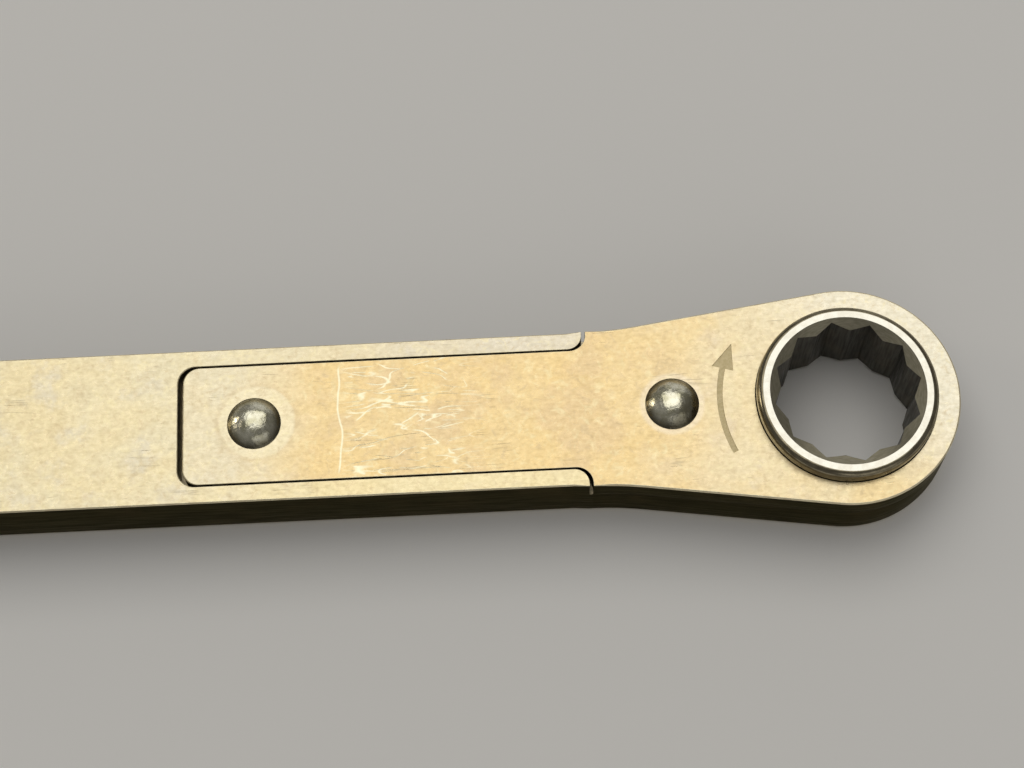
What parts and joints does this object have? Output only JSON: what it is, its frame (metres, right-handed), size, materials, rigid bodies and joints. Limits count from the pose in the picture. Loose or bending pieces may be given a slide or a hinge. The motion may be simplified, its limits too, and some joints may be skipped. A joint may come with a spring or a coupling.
{
  "type": "ratchet ring spanner",
  "caption": "Flat ratchet ring spanner with a 12-point ring in a rounded head, a riveted spade-shaped cover plate, and a plain bar handle.",
  "frame": {"origin": "on the ring's axis, in the plane of the ring's lower face, which the tool lies on", "axes": "+X from the handle towards the nose of the head, +Z along the ring's axis out of the cover plate side, +Y to the left of the tool seen from the cover side with the nose to the right"},
  "size_m": [0.1901, 0.0196, 0.0084],
  "materials": {
    "satin_steel": "satin ground stainless steel, warm tone",
    "cover_steel": "satin stainless steel with straw-coloured tarnish and fine scratches",
    "ring_steel": "polished hub, machined socket",
    "hardened_steel": "ground, hardened",
    "bush_bronze": "turned",
    "spring_steel": "drawn wire",
    "rivet_steel": "polished, hand-peened"
  },
  "bodies": {
    "body": {"handle_body": "satin_steel", "cover_plate": "cover_steel", "pawl_bush": "bush_bronze", "pawl_spring": "spring_steel", "front_rivet": "rivet_steel", "rear_rivet": "rivet_steel"},
    "ring": {"ratchet_ring": "ring_steel"},
    "pawl_lever": {"pawl": "hardened_steel"},
    "plunger_pin": {"plunger": "hardened_steel"}
  },
  "joints": [
    {"name": "ring_spin", "type": "hinge", "parent": "body", "child": "ring", "pos_m": [0, 0, 0], "axis": [0, 0, 1], "continuous": true},
    {"name": "pawl_lift", "type": "hinge", "parent": "body", "child": "pawl_lever", "pos_m": [-0.0151, 0, 0], "axis": [0, 0, 1], "range_deg": [0, 4]},
    {"name": "plunger_slide", "type": "slide", "parent": "body", "child": "plunger_pin", "axis": [1, 0, 0], "range_m": [-0.00022, 0], "stiffness_N_per_m": 400, "springref_m": 0.005, "deforming": ["pawl_spring"]}
  ],
  "couplings": [
    {"joint": "pawl_lift", "follows": "plunger_slide", "rad_per_m": -312.5}
  ]
}
